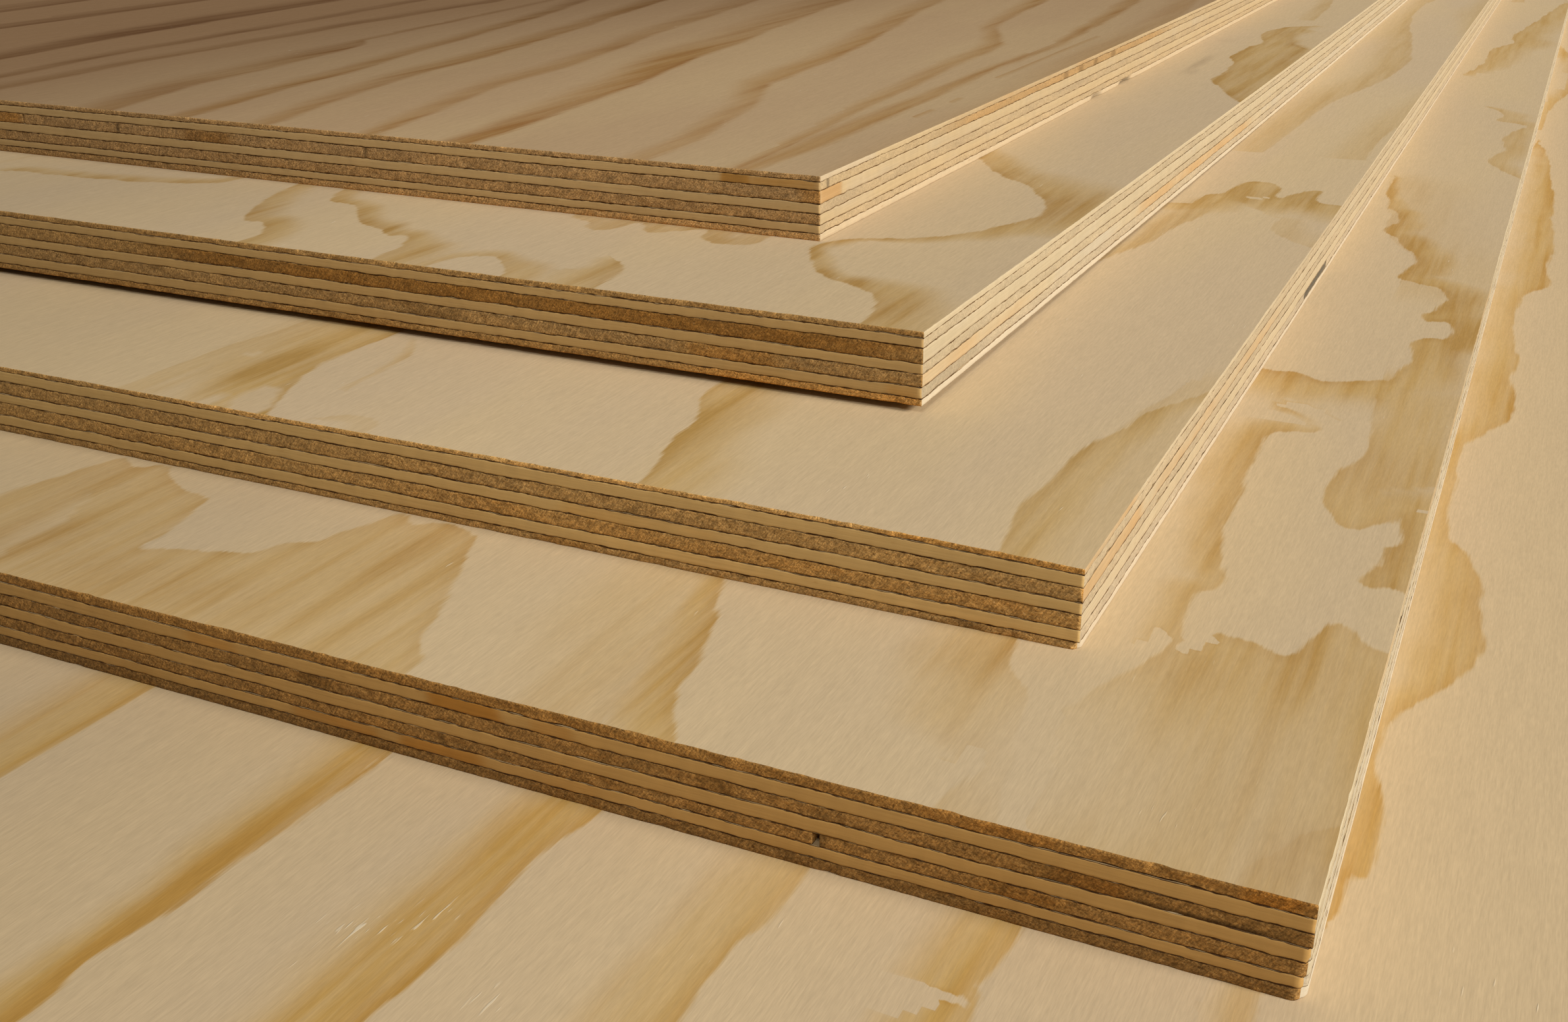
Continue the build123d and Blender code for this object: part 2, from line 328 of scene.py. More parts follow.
# The top sheet's streaks: each runs on from its last point at STREAK_SLANT
SHEET_5_FIGURE = (
    (0.85, ((-188, 180, 12), (-189, 250, 14), (-191, 310, 12), (-193, 420, 9), (-192, 500),
            (-199, 600, 12), (-206, 680, 14))),
    (0.90, ((-192, 180, 5), (-203, 300, 9), (-208, 380, 13), (-212, 440), (-217, 490, 14),
            (-229, 520, 13), (-239, 545), (-246, 610, 15), (-253, 675, 18))),
    (0.85, ((-222, 180, 12), (-226, 230, 14), (-240, 295, 16), (-258, 345, 20), (-262, 410, 22),
            (-270, 465, 24), (-281, 525), (-294, 590, 22), (-306, 665, 20))),
    (1.00, ((-284, 180, 15), (-286, 215, 17), (-291, 255, 22), (-300, 320, 28), (-315, 390, 32),
            (-322, 450), (-331, 490), (-341, 555, 34), (-348, 620))),
    (0.90, ((-317, 180, 12), (-330, 240, 15), (-345, 300, 17), (-351, 350, 18), (-361, 405),
            (-370, 450, 20), (-381, 525, 22), (-393, 590, 24), (-402, 650, 26))),
    (1.00, ((-362, 180, 14), (-366, 205, 16), (-380, 260, 18), (-391, 320, 20), (-396, 370), (-405, 410),
            (-416, 470), (-427, 510, 18), (-441, 585, 20))),
    (0.85, ((-394, 180, 12), (-401, 215, 13), (-415, 275, 14), (-426, 340, 15), (-440, 405), (-450, 450),
            (-466, 525), (-482, 580, 16))),
    (0.90, ((-425, 180, 20), (-435, 210, 24), (-447, 245, 28), (-456, 300, 30), (-463, 350, 28),
            (-469, 374, 20), (-478, 384, 8))),
    (0.90, ((-500, 180, 14), (-506, 225, 16), (-515, 290), (-518, 390, 14), (-523, 490, 16),
            (-521, 545))),
    (0.85, ((-520, 180, 12), (-530, 245, 14), (-541, 300, 16), (-548, 390), (-551, 440, 14),
            (-558, 515, 16))),
    (1.00, ((-562, 180, 20), (-575, 280, 24), (-586, 340, 28), (-591, 390), (-598, 450), (-604, 515))),
)
STREAK_SLANT = -0.11

# Dark smudges in the fourth sheet's far right face: x, y, half width, half length, strength
SMUDGES = ((-154, 600, 2.5, 42, 0.30), (-151, 568, 2, 14, 0.20), (-160, 690, 4, 14, 0.10))

# Where the lowest sheet's face is torn in pale flecks: x, y, half width, half length, strength
TORN_SPOTS = ((-139, -46, 8, 8, 1.0), (-131, -39, 6, 9, 0.9), (-111, -52, 5, 6, 0.8))


def figure_plan(points):
    """World points in mm from the second sheet's front right corner."""
    return (points[:, :2] - sheets["sheet_2"].corner) / MM


def with_widths(line):
    """The line's points with a width each: a point without one keeps that of the point before."""
    full = []
    for point in line:
        full.append(point if len(point) == 3 else (*point, full[-1][2]))
    return np.array(full, float)


def rounded(line, steps=5):
    """The line's points joined by a Catmull-Rom curve."""
    line = np.array(line, float)
    padded = np.vstack([2 * line[0] - line[1], line, 2 * line[-1] - line[-2]])
    curve = []
    for before, start, end, after in zip(padded, padded[1:], padded[2:], padded[3:]):
        for step in range(steps):
            t = step / steps
            bend = (2 * before - 5 * start + 4 * end - after) * t**2
            twist = (3 * start - before - 3 * end + after) * t**3
            curve.append((2 * start + (end - before) * t + bend + twist) / 2)
    curve.append(padded[-2])
    return np.array(curve)


def contour_distance(line, x, y):
    """Signed distance of each point to a line, positive on its left, and the fade width there."""
    nearest = np.full(len(x), np.inf)
    signed = np.zeros(len(x))
    width = np.ones(len(x))
    for start, end in zip(line, line[1:]):
        run_x, run_y = end[:2] - start[:2]
        away_x, away_y = x - start[0], y - start[1]
        share = np.clip((away_x * run_x + away_y * run_y) / (run_x**2 + run_y**2), 0, 1)
        distance = np.hypot(away_x - share * run_x, away_y - share * run_y)
        closer = distance < nearest
        side = np.sign(run_x * away_y - run_y * away_x)
        nearest[closer] = distance[closer]
        signed[closer] = (distance * side)[closer]
        width[closer] = (start[2] + share * (end[2] - start[2]))[closer]
    return signed, width


# A latewood band fades out between these shares of its width. It is weaker where it is narrower than
# FULL_WIDTH, and reaches BAND_BACK past its sharp line, where the material ends it, in mm
BAND_FADE = (0.30, 1.15)
FULL_WIDTH = 4
BAND_BACK = 6

# How far around a contour its distance is worked out, in mm
CONTOUR_REACH = 8

# How bare the pale islands are, and where their edge starts and ends, in mm inside their loop
ISLAND_BARE = 0.85
ISLAND_EDGE = (-0.8, 1.2)

# The log's rings: how far apart they are, in mm, and after how many they repeat
RING_SPACING = 46.0
RING_COUNT = 512


class Figure:
    """The latewood of one face: two layers of signed distance to a contour and strength."""

    def __init__(self, points, seed):
        self.plan = figure_plan(points)
        self.seed = seed
        self.wander = Noise(seed)
        self.distance = np.full((2, len(points)), NO_FIGURE / MM)
        self.strength = np.zeros((2, len(points)))
        self.deep = np.zeros(len(points))

    def add(self, layer, distance, width, strength):
        """Lays one band on a layer where it is stronger than what the layer holds."""
        fade = 1 - ramp(distance / np.maximum(width, 0.5), *BAND_FADE)
        made = strength * np.clip(width / FULL_WIDTH, 0, 1) * np.where(distance > -BAND_BACK, fade, 0)
        better = made > self.strength[layer]
        self.distance[layer][better] = distance[better]
        self.strength[layer][better] = made[better]

    def within(self, curve, reach):
        """Which points lie in the box around the curve, widened by reach."""
        low, high = curve[:, :2].min(axis=0) - reach, curve[:, :2].max(axis=0) + reach
        return np.all((self.plan > low) & (self.plan < high), axis=1)

    def add_contours(self, contours):
        """The listed contours."""
        x, y = self.plan.T
        scallop = 1.3 * self.wander(x / 9, y / 14) + 0.6 * self.wander(x / 3 + 40, y / 6)
        for index, (strength, line) in enumerate(contours):
            curve = rounded(with_widths(line))
            reach = curve[:, 2].max() + CONTOUR_REACH
            near = self.within(curve, reach)
            distance = np.full(len(x), NO_FIGURE / MM)
            width = np.zeros(len(x))
            distance[near], width[near] = contour_distance(curve, x[near], y[near])
            self.add(index % 2, distance + scallop, width, strength)

    def away_from(self, middle_x, middle_y, half_x, half_y):
        """How far each point lies from the middle of a spot, 1 at its rim."""
        x, y = self.plan.T
        return np.hypot((x - middle_x) / half_x, (y - middle_y) / half_y)

    def add_spots(self, spots):
        """Deepens or fades the latewood in soft round spots."""
        for *spot, amount in spots:
            share = abs(amount) * (1 - ramp(self.away_from(*spot), 0.15, 1.35))
            if amount > 0:
                self.deep = np.maximum(self.deep, share)
            else:
                self.strength *= 1 - share

    def lighten(self, islands):
        """Leaves the early wood bare inside the pale islands."""
        x, y = self.plan.T
        for island in islands:
            curve = rounded([(*point, 1) for point in (*island, island[0])])
            near = self.within(curve, 4)
            distance, _ = contour_distance(curve, x[near], y[near])
            turns = np.sum(curve[:-1, 0] * curve[1:, 1] - curve[1:, 0] * curve[:-1, 1])
            self.strength[:, near] *= 1 - ISLAND_BARE * ramp(distance * np.sign(turns), *ISLAND_EDGE)

    def add_rings(self, region):
        """Bands from the rings of the log, where region says so: sharp on the right, soft on the left."""
        x, y = self.plan.T
        drift = 16 * self.wander(x / 70, y / 260) + 5 * self.wander(x / 30 + 9, y / 90)
        phase = (x + drift) / RING_SPACING
        ring = np.floor(phase)
        share = phase - ring
        table = np.random.default_rng(self.seed + 1).uniform(0, 1, (2, RING_COUNT))
        index = ring.astype(int) % RING_COUNT
        width = RING_SPACING * (0.18 + 0.30 * table[0][index])
        strength = 0.35 + 0.5 * table[1][index]
        distance = RING_SPACING * np.where(share > 0.25, 1 - share, -share)
        self.add(0, distance, np.where(region, width, 0), np.where(region, strength, 0))

    def add_streaks(self, streaks):
        """Nearly straight bands along the sheet: sharp on the right, soft on the left."""
        x, y = self.plan.T
        for index, (strength, line) in enumerate(streaks):
            line_x, line_y, line_width = with_widths(line).T
            beyond = np.clip(y - line_y[-1], 0, None)
            wobble = 1.5 * self.wander(y / 60, index * 7.3) + 0.6 * self.wander(y / 20, index * 3.1 + 50)
            wobble += np.clip(beyond / 100, 0, 7) * self.wander(y / 190, index * 1.7 + 20)
            edge = np.interp(y, line_y, line_x) + STREAK_SLANT * beyond + wobble
            pulse = 0.86 + 0.26 * self.wander(y / 95, index * 5.7 + 90)
            swell = np.interp(y, line_y, line_width) * (1 + 0.15 * self.wander(y / 150, index * 2.9 + 130))
            self.add(index % 2, edge - x, 0.8 * swell, strength * pulse)

    def heartwood(self):
        """How far the top sheet has turned to reddish heartwood: none at its corner, full far left."""
        x, y = self.plan.T
        wander = 0.12 * self.wander(x / 90, y / 400)
        return np.clip(0.92 * ramp(-x, 200, 640) + 0.35 * ramp(y, 300, 800) + wander, 0, 1)

    def spotted(self, spots):
        """Strength of soft round spots, such as smudges."""
        total = np.zeros(len(self.plan))
        for *spot, strength in spots:
            total += strength * (1 - ramp(self.away_from(*spot), 0.2, 1.2))
        return total


def all_streaks():
    """The listed streaks, then others at seeded spacing on both sides of them."""
    random = np.random.default_rng(53)
    streaks = list(SHEET_5_FIGURE)
    places = list(np.arange(-640, -1500, -46)) + list(np.arange(-140, 200, 52))
    for place in places:
        place += random.uniform(-12, 12)
        line = ((place, 190, random.uniform(14, 32)), (place - random.uniform(10, 60), 600, 22))
        streaks.append((random.uniform(0.5, 1.0), line))
    return streaks


FIGURES = {
    "sheet_1": SHEET_1_FIGURE,
    "sheet_2": SHEET_2_FIGURE,
    "sheet_3": SHEET_3_FIGURE,
    "sheet_4": SHEET_4_FIGURE,
}

# Beyond these distances from the second sheet's corner the rings are drawn by formula, in mm
HAND_LEFT = {"sheet_1": -225, "sheet_2": -345, "sheet_3": -385, "sheet_4": -470}
HAND_FAR = {"sheet_1": 800, "sheet_2": 1330, "sheet_3": 480, "sheet_4": 800}


def face_figure(sheet, points):
    """The figure of a sheet's face at the given points."""
    figure = Figure(points, 100 + sheet.number)
    if sheet.name == "sheet_5":
        figure.add_streaks(all_streaks())
        figure.add_spots(SPOTS["sheet_5"])
        return figure
    x, y = figure.plan.T
    figure.add_contours(FIGURES[sheet.name])
    figure.lighten(ISLANDS.get(sheet.name, ()))
    figure.add_spots(SPOTS[sheet.name])
    figure.add_rings((x < HAND_LEFT[sheet.name]) | (y > HAND_FAR[sheet.name]))
    return figure


# Seams between two strips of a core veneer: distance from the right edge and width, in metres
SEAMS = {
    "sheet_5_upper_core": (0.305, 0.0006),
    "sheet_2_lower_core": (0.080, 0.0012),
}
SEAM_DEPTH = 0.003
SEAM_LIP = 0.0002

# Front right corners knocked off: (along the front, along the right edge), in metres
BROKEN_CORNERS = {
    "sheet_3_back_veneer": (0.0013, 0.0018),
    "sheet_2_back_veneer": (0.0018, 0.0020),
    "sheet_2_lower_crossband": (0.0012, 0.0014),
    "sheet_2_lower_core": (0.0008, 0.0012),
    "sheet_2_middle_crossband": (0.0004, 0.0008),
}

# Splinters torn off the top sheet's lower right arris: place along the edge, length, depth
SPLINTER_NODE = "sheet_5_back_veneer"
SPLINTERS = ((0.330, 0.026, 0.0016), (0.282, 0.018, 0.0013))

# The core void in the third sheet's right edge, in metres, the edge rows that are open, and the rows painted
# dark as the shade inside the void, and how dark
VOID_NODE = "sheet_3_lower_crossband"
VOID_START = 0.260
VOID_LENGTH = 0.046
VOID_DEPTH = 0.010
VOID_ROWS = slice(2, 4)
VOID_SHADED_ROWS = slice(1, 5)
VOID_PAINTED_SHADE = 1.2


def void_place(outline):
    """How far along the core void each point lies, and whether it lies in it."""
    place = (outline.along - VOID_START) / VOID_LENGTH
    return place, (outline.side == RIGHT) & (place > 0) & (place < 1)


# Stretches of sawn edge with a look of their own, a few of them painted shade and painted warm bounce light:
# from and to in mm from the front right corner, how orange they are (1 is full, below 0 is greyer), how dark
# (below 0 is lighter) and, where only the lower part of the veneer is meant, the share of its thickness at
# which that starts
EDGE_SPANS = {
    ("sheet_2_face_veneer", FRONT): ((2, 11, 1.0, 0.1), (40, 62, 0.5, 0.0)),
    ("sheet_2_upper_crossband", FRONT): ((127, 138, 0.8, 0.1), (143, 160, 1.5, 0.3), (205, 219, 0.6, 0.0)),
    ("sheet_2_face_veneer", RIGHT): ((40, 100, 0.6, 0.10), (100, 400, 0.8, 0.30)),
    ("sheet_2_upper_core", FRONT): ((27, 41, 1.0, 0.3), (96, 103, 0.5, 0.5), (182, 191, 0.3, 0.6),
                                    (-20, 45, 0.2, 0.3), (6, 27, 0.0, 1.0, 0.86)),
    ("sheet_2_lower_core", FRONT): ((38, 50, 1.0, 0.3), (79, 80.4, 0.0, 0.9), (156.5, 157.8, 0.0, 0.7)),
    ("sheet_2_lower_crossband", FRONT): ((122, 148, 0.7, 0.0), (148, 168, 1.4, 0.25), (171, 194, 1.2, 0.2),
                                         (207, 222, 0.6, 0.0)),
    ("sheet_2_back_veneer", FRONT): ((-60, 330, 0.0, 0.35),),
    ("sheet_3_face_veneer", FRONT): ((-10, 40, 0.6, -0.2), (40, 230, 0.0, -0.5)),
    ("sheet_3_face_veneer", RIGHT): ((-10, 40, 0.7, 0.15), (200, 400, 0.2, 0.2)),
    ("sheet_3_middle_crossband", FRONT): ((75, 118, 0.7, 0.0),),
    ("sheet_3_upper_core", RIGHT): ((-12, 44, 1.25, 0.0), (44, 220, 1.0, 0.0)),
    ("sheet_3_lower_core", FRONT): ((0, 149, 0.5, 0.0),),
    ("sheet_3_lower_crossband", FRONT): ((-20, 120, 0.0, -0.2),),
    ("sheet_3_back_veneer", FRONT): ((20, 24, 0.0, 0.6), (108, 122, 0.8, 0.2)),
    ("sheet_4_upper_core", FRONT): ((0, 238, 1.2, 0.5),),
    ("sheet_4_lower_core", FRONT): ((37, 63, 1.2, 0.1), (129, 149, 0.2, 0.45)),
    ("sheet_4_lower_core", RIGHT): ((-12, 40, 1.45, 0.0), (40, 100, 1.2, 0.0), (195, 400, 1.6, 0.0)),
    ("sheet_4_lower_crossband", FRONT): ((0, 10, 0.8, 0.0),),
    ("sheet_4_lower_crossband", RIGHT): ((-12, 40, 0.1, 0.35),),
    # the lowest row's orange, lighter stretch is painted warm bounce light from the face below
    ("sheet_4_back_veneer", FRONT): ((-20, 60, 0.3, -0.55), (-20, 330, 1.0, -0.3, 1.0)),
    ("sheet_5_face_veneer", RIGHT): ((-10, 40, -0.8, -0.1), (100, 400, 0.8, 0.2)),
    ("sheet_5_upper_crossband", FRONT): ((0, 22.5, 0.8, 0.2), (22.7, 30.5, 1.6, 0.55)),
    ("sheet_5_upper_crossband", RIGHT): ((4.2, 6.2, 0.0, 0.9), (100, 400, 0.9, 0.15), (232, 238, 1.2, 0.5),
                                         (253, 259, 1.2, 0.5), (275, 281, 1.2, 0.5), (302, 309, 1.2, 0.5)),
    ("sheet_5_upper_core", FRONT): ((-1, 6.4, 1.0, 0.0), (211, 232, 1.0, 0.4), (155.5, 156.8, 0.0, 0.9),
                                    (260, 261.3, 0.0, 0.8), (306, 330, 1.4, 0.1)),
    ("sheet_5_upper_core", RIGHT): ((-1, 15.7, 1.6, 0.05), (16, 40, 0.0, -0.12)),
    # the lowest row's orange, lighter stretch is painted warm bounce light from the face below
    ("sheet_5_back_veneer", FRONT): ((-30, 60, 0.0, -0.6), (60, 200, 0.0, -0.3), (-20, 330, 1.6, -0.4, 1.0)),
    # the dark lower stretches at the two splinters are painted shade in their torn hollows
    ("sheet_5_back_veneer", RIGHT): ((321, 338, 0.0, 1.2, 0.38), (276, 289, 0.0, 0.8, 0.38)),
}
SPAN_FADE = 3.0

# How dark (below 0 is lighter) and how orange (below 0 is greyer) each veneer's right edge is, from
# the face down
RIGHT_DARKNESS = (0.0, 0.05, 0.06, 0.02, 0.0, -0.06, -0.35)
RIGHT_ORANGE = (0.0, 0.0, 0.0, 0.0, 0.0, -0.4, -1.2)

# The front edges are painted darker to the left, a painted shade for the light falling off there: how much,
# and over which distances in mm
LEFT_PAINTED_SHADE = 0.42
LEFT_SHADE_FADE = (100, 300)


def edge_spans(node, veneer, outline):
    """How much more orange and how dark the edge is, with painted shade to the left of the fronts, in the
    core void and at the splinters, and painted warm bounce light under the upper sheets: a row for each edge
    row.
    """
    along = np.abs(outline.along) / MM
    front, right = outline.side == FRONT, outline.side == RIGHT
    orange = np.tile(np.where(right, RIGHT_ORANGE[veneer], 0.0), (len(EDGE_ROWS), 1))
    # painted shade along the fronts, darker to the left
    dark = np.where(right, RIGHT_DARKNESS[veneer], 0.0) + front * LEFT_PAINTED_SHADE * ramp(along, *LEFT_SHADE_FADE)
    dark = np.tile(dark, (len(EDGE_ROWS), 1))
    for side in (FRONT, RIGHT):
        for start, end, more_orange, darker, *lower in EDGE_SPANS.get((node, side), ()):
            fade = min(max(SPAN_FADE, 0.12 * (end - start)), (end - start) / 4)
            share = ramp(along, start - fade, start + fade) * (1 - ramp(along, end - fade, end + fade))
            share = share * (outline.side == side) * (EDGE_ROWS[:, None] >= (lower[0] if lower else 0))
            orange += more_orange * share
            dark += darker * share
    # painted shade inside the core void, which the key lamp would otherwise light
    if node == VOID_NODE:
        dark[VOID_SHADED_ROWS, void_place(outline)[1]] = VOID_PAINTED_SHADE
    return orange, dark


def stations(length, zones, extra=()):
    """Places along a side from 0 to its length, closer together where the zones say so."""
    places = [0.0]
    for end, step in zones:
        end = min(end, length)
        count = max(1, round((end - places[-1]) / step))
        places.extend(np.linspace(places[-1], end, count + 1)[1:])
        if end == length:
            break
    return np.union1d(places, extra)


class Outline:
    """A veneer's plan outline, anticlockwise from the front left corner."""

    def __init__(self, sheet, node):
        fine = sheet.name != "sheet_1"
        extra = []
        if node in SEAMS:
            inset, width = SEAMS[node]
            extra = [inset - SEAM_LIP, inset, inset + width, inset + width + SEAM_LIP]
        front = stations(sheet.width, FRONT_ZONES if fine else PLAIN_ZONES, extra)
        right = stations(sheet.length, RIGHT_ZONES if fine else PLAIN_ZONES)
        back = stations(sheet.width, FAR_ZONES, extra)
        left = stations(sheet.length, FAR_ZONES)
        zeros = np.zeros_like
        runs = (
            np.column_stack([-front[:0:-1], zeros(front[1:])]),
            np.column_stack([zeros(right[:-1]), right[:-1]]),
            np.column_stack([-back[:-1], zeros(back[:-1]) + sheet.length]),
            np.column_stack([zeros(left[1:]) - sheet.width, left[:0:-1]]),
        )
        self.plan = np.vstack(runs)
        self.side = np.concatenate([np.full(len(run), side) for side, run in enumerate(runs)])
        self.along = np.where(self.side % 2 == 0, self.plan[:, 0], self.plan[:, 1])
        self.inward = INWARD[self.side].copy()
        starts = np.flatnonzero(np.diff(self.side, prepend=self.side[-1]))
        self.inward[starts] += INWARD[self.side[starts] - 1]
        self.corners = starts
        if node in BROKEN_CORNERS:
            self.break_corner(*BROKEN_CORNERS[node])

    def break_corner(self, along_front, along_right):
        """Moves the points near the front right corner onto a slanted break."""
        u, v = self.plan.T
        before = (self.side == FRONT) & (u > -along_front)
        after = (self.side == RIGHT) & (v < along_right)
        share = np.where(before, (u + along_front) / along_front / 2, 0.5 + v / along_right / 2)
        moved = before | after
        self.plan[moved, 0] = (-along_front + share * along_front)[moved]
        self.plan[moved, 1] = (share * along_right)[moved]


waves = Noise(7)
ripples = Noise(11)
grit = Noise(13)
tears = Noise(17)


def glue_offsets(sheet, level, world):
    """How far a glue line strays up or down from its level, in metres."""
    if level in (0, len(VENEERS)):
        return np.zeros(len(world))
    x, y = world.T / MM
    key = 31 * sheet.number + 7 * level
    slow = waves(x / 26 + key, y / 26 + key)
    quick = ripples(x / 3.1 + key, y / 3.1 - key)
    fine = ripples(x / 1.1 - key, y / 1.1 + key)
    return GLUE_WAVE * slow + GLUE_RIPPLE * quick + 0.6 * GLUE_RIPPLE * fine


def edge_recess(sheet, veneer, outline, thickness, node):
    """How far each point of the sawn edge lies inside the saw's plane: a row for each edge row."""
    along = outline.along / MM
    key = 100 * sheet.number + 13 * veneer + 5 * outline.side
    end_grain = (veneer % 2 == 0) == (outline.side % 2 == 0)
    rows = []
    for share in EDGE_ROWS:
        depth = share * thickness / MM
        stand = SAW_DRIFT + SAW_DRIFT * waves(along / 14 + key, veneer * 3.7)
        rough = np.where(end_grain, END_ROUGHNESS, LONG_ROUGHNESS)
        rough = rough * (0.5 + 0.5 * grit(along / 0.9 + key, depth / 0.8 + key))
        torn = ramp(tears(along / 3.4 + key, depth / 1.6 - key), 0.35, 0.8)
        recess = stand + rough + np.where(end_grain, TORN_DEPTH, 0.1 * TORN_DEPTH) * torn
        on_face = (veneer == 0 and share == 0) or (veneer == len(VENEERS) - 1 and share == 1)
        if on_face:
            recess += ARRIS_WEAR * (0.35 + 0.65 * ramp(waves(along / 2.3 + key, 5.5), -0.3, 0.9))
        elif share in (0, 1):
            recess += GLUE_GROOVE * (0.45 + 0.55 * tears(along / 2.7 + key, 3 * share))
        rows.append(recess)
    recess = np.array(rows)
    recess[:, outline.corners] = np.minimum(recess[:, outline.corners], CORNER_RECESS)
    add_damage(recess, outline, node)
    return np.maximum(recess, LEAST_RECESS)


def add_damage(recess, outline, node):
    """Seams, splinters and the core void, cut into the edge's rows."""
    if node in SEAMS:
        inset, width = SEAMS[node]
        across = (outline.side % 2 == 0) & (-outline.along > inset - SAME_PLACE)
        recess[:, across & (-outline.along < inset + width + SAME_PLACE)] += SEAM_DEPTH
    if node == SPLINTER_NODE:
        for place, length, depth in SPLINTERS:
            away = np.abs(outline.along - place) / (length / 2)
            torn = depth * np.clip(1 - away, 0, 1) ** 0.8 * (outline.side == RIGHT)
            recess += EDGE_ROWS[:, None] ** 0.5 * torn
    if node == VOID_NODE:
        place, open_here = void_place(outline)
        recess[VOID_ROWS, open_here] += VOID_DEPTH * (1 - (2 * place[open_here] - 1) ** 4)


def side_loop(sheet, veneer, outline, node):
    """The points of the sawn edge, row by row from the top, and their distance from glue."""
    world = sheet.world(outline.plan)
    top = sheet.levels[veneer] + glue_offsets(sheet, veneer, world)
    low = sheet.levels[veneer + 1] + glue_offsets(sheet, veneer + 1, world)
    thickness = sheet.levels[veneer] - sheet.levels[veneer + 1]
    recess = edge_recess(sheet, veneer, outline, thickness, node)
    rows = []
    glue = []
    for share, inset in zip(EDGE_ROWS, recess):
        plan = outline.plan + inset[:, None] * outline.inward
        rows.append(np.column_stack([sheet.world(plan), top + share * (low - top)]))
        above = share if veneer > 0 else 1
        below = 1 - share if veneer < len(VENEERS) - 1 else 1
        glue.append(np.full(len(plan), min(above, below) * thickness))
    return rows, np.concatenate(glue)


# How wide the strips along a face's front and right edges are that show, and how far inside the edges
# the points in the face start, in metres
SEEN_STRIP = 0.110
RIM_MARGIN = 0.0015


def face_areas(sheet):
    """Areas of a face: left, near, right, far and the spacing of the points in it."""
    left, far, strip = -sheet.width, sheet.length, SEEN_STRIP
    if sheet.name == "sheet_5":
        return ((-0.46, 0, 0, 0.62, 0.0040), (left, 0.62, 0, far, 0.014), (left, 0, -0.46, 0.62, 0.012))
    return ((left, strip, -strip, far, 0.060), (-0.36, 0, 0, strip, 0.0021), (left, 0, -0.36, strip, 0.010),
            (-strip, strip, 0, 0.52, 0.0024), (-strip, 0.52, 0, 0.80, 0.0045), (-strip, 0.80, 0, far, 0.008))


def inner_plan(sheet):
    """Plan points over the face, close together where the face can be seen."""
    points = []
    for left, near, right, far, step in face_areas(sheet):
        u = np.arange(left + step / 2, right, step)
        v = np.arange(near + step / 2, far, step)
        points.append(np.column_stack([axis.ravel() for axis in np.meshgrid(u, v)]))
    points = np.vstack(points)
    inside = (points[:, 0] > -sheet.width + RIM_MARGIN) & (points[:, 0] < -RIM_MARGIN)
    inside &= (points[:, 1] > RIM_MARGIN) & (points[:, 1] < sheet.length - RIM_MARGIN)
    return points[inside]


def face_cap(sheet, ring):
    """Triangles over the face: the ring of its arris and points inside it. Returns new points, faces."""
    from_corner = ring[:, :2] - sheet.corner
    plan = np.column_stack([from_corner @ sheet.right, from_corner @ sheet.away])
    inner = inner_plan(sheet)
    flat = np.vstack([plan, inner]) / MM
    made = delaunay_2d_cdt(flat.tolist(), [], [list(range(len(plan)))], 1, 1e-4)
    if len(made[0]) != len(flat):
        raise RuntimeError(f"the rim of {sheet.name} crosses itself: {len(flat)} points, {len(made[0])} made")
    height = np.full(len(inner), sheet.levels[0])
    return np.column_stack([sheet.world(inner), height]), made[2]


# The material slots of a veneer: its face, its front and back edges, its right and left edges, and its
# glued surfaces
FACE_SLOT, FRONT_SLOT, SIDE_SLOT, INSIDE_SLOT = range(4)


def edge_quads(count):
    """The faces between the rows of an edge, where each row is a ring of count points."""
    ring = np.arange(count)
    after = np.roll(ring, -1)
    upper = np.arange(len(EDGE_ROWS) - 1)[:, None] * count
    lower = upper + count
    quads = np.stack([lower + ring, lower + after, upper + after, upper + ring], axis=-1)
    return quads.reshape(-1, 4).tolist()


def veneer_mesh(sheet, veneer, node):
    """The closed mesh of one veneer, with its attributes and material slots."""
    outline = Outline(sheet, node)
    rows, glue = side_loop(sheet, veneer, outline, node)
    count = len(outline.plan)
    points = np.vstack(rows)
    faces = edge_quads(count)
    sawn = len(faces)
    slots = np.tile(np.where(outline.side % 2, SIDE_SLOT, FRONT_SLOT), len(EDGE_ROWS) - 1).tolist()
    lowest_row = len(points) - count
    faces.append(list(range(len(points) - 1, lowest_row - 1, -1)))
    slots.append(FACE_SLOT if veneer == len(VENEERS) - 1 else INSIDE_SLOT)
    if veneer == 0:
        inner, cap = face_cap(sheet, rows[0])
        points = np.vstack([points, inner])
        glue = np.concatenate([glue, np.full(len(inner), 1.0)])
        cap = [[corner if corner < count else corner + lowest_row for corner in face] for face in cap]
        faces += cap
        slots += [FACE_SLOT] * len(cap)
    else:
        faces.append(list(range(count)))
        slots.append(INSIDE_SLOT)
    points = bent(sheet, points)
    mesh = bpy.data.meshes.new(node)
    mesh.from_pydata(points.tolist(), [], faces)
    mesh.polygons.foreach_set("material_index", slots)
    mesh.polygons.foreach_set("use_smooth", np.arange(len(faces)) < sawn)
    set_attribute(mesh, "glue", glue)
    orange, dark = edge_spans(node, veneer, outline)
    rest = np.zeros(len(points) - len(EDGE_ROWS) * count)
    set_attribute(mesh, "tone", tone_of(sheet, veneer) + np.concatenate([orange.ravel(), rest]))
    set_attribute(mesh, "dark", np.concatenate([dark.ravel(), rest]))
    if veneer == 0:
        add_figure(mesh, sheet, points)
    mesh.update()
    return mesh


def set_attribute(mesh, name, values):
    """A number for each point of the mesh."""
    attribute = mesh.attributes.new(name, "FLOAT", "POINT")
    attribute.data.foreach_set("value", np.asarray(values, np.float32))


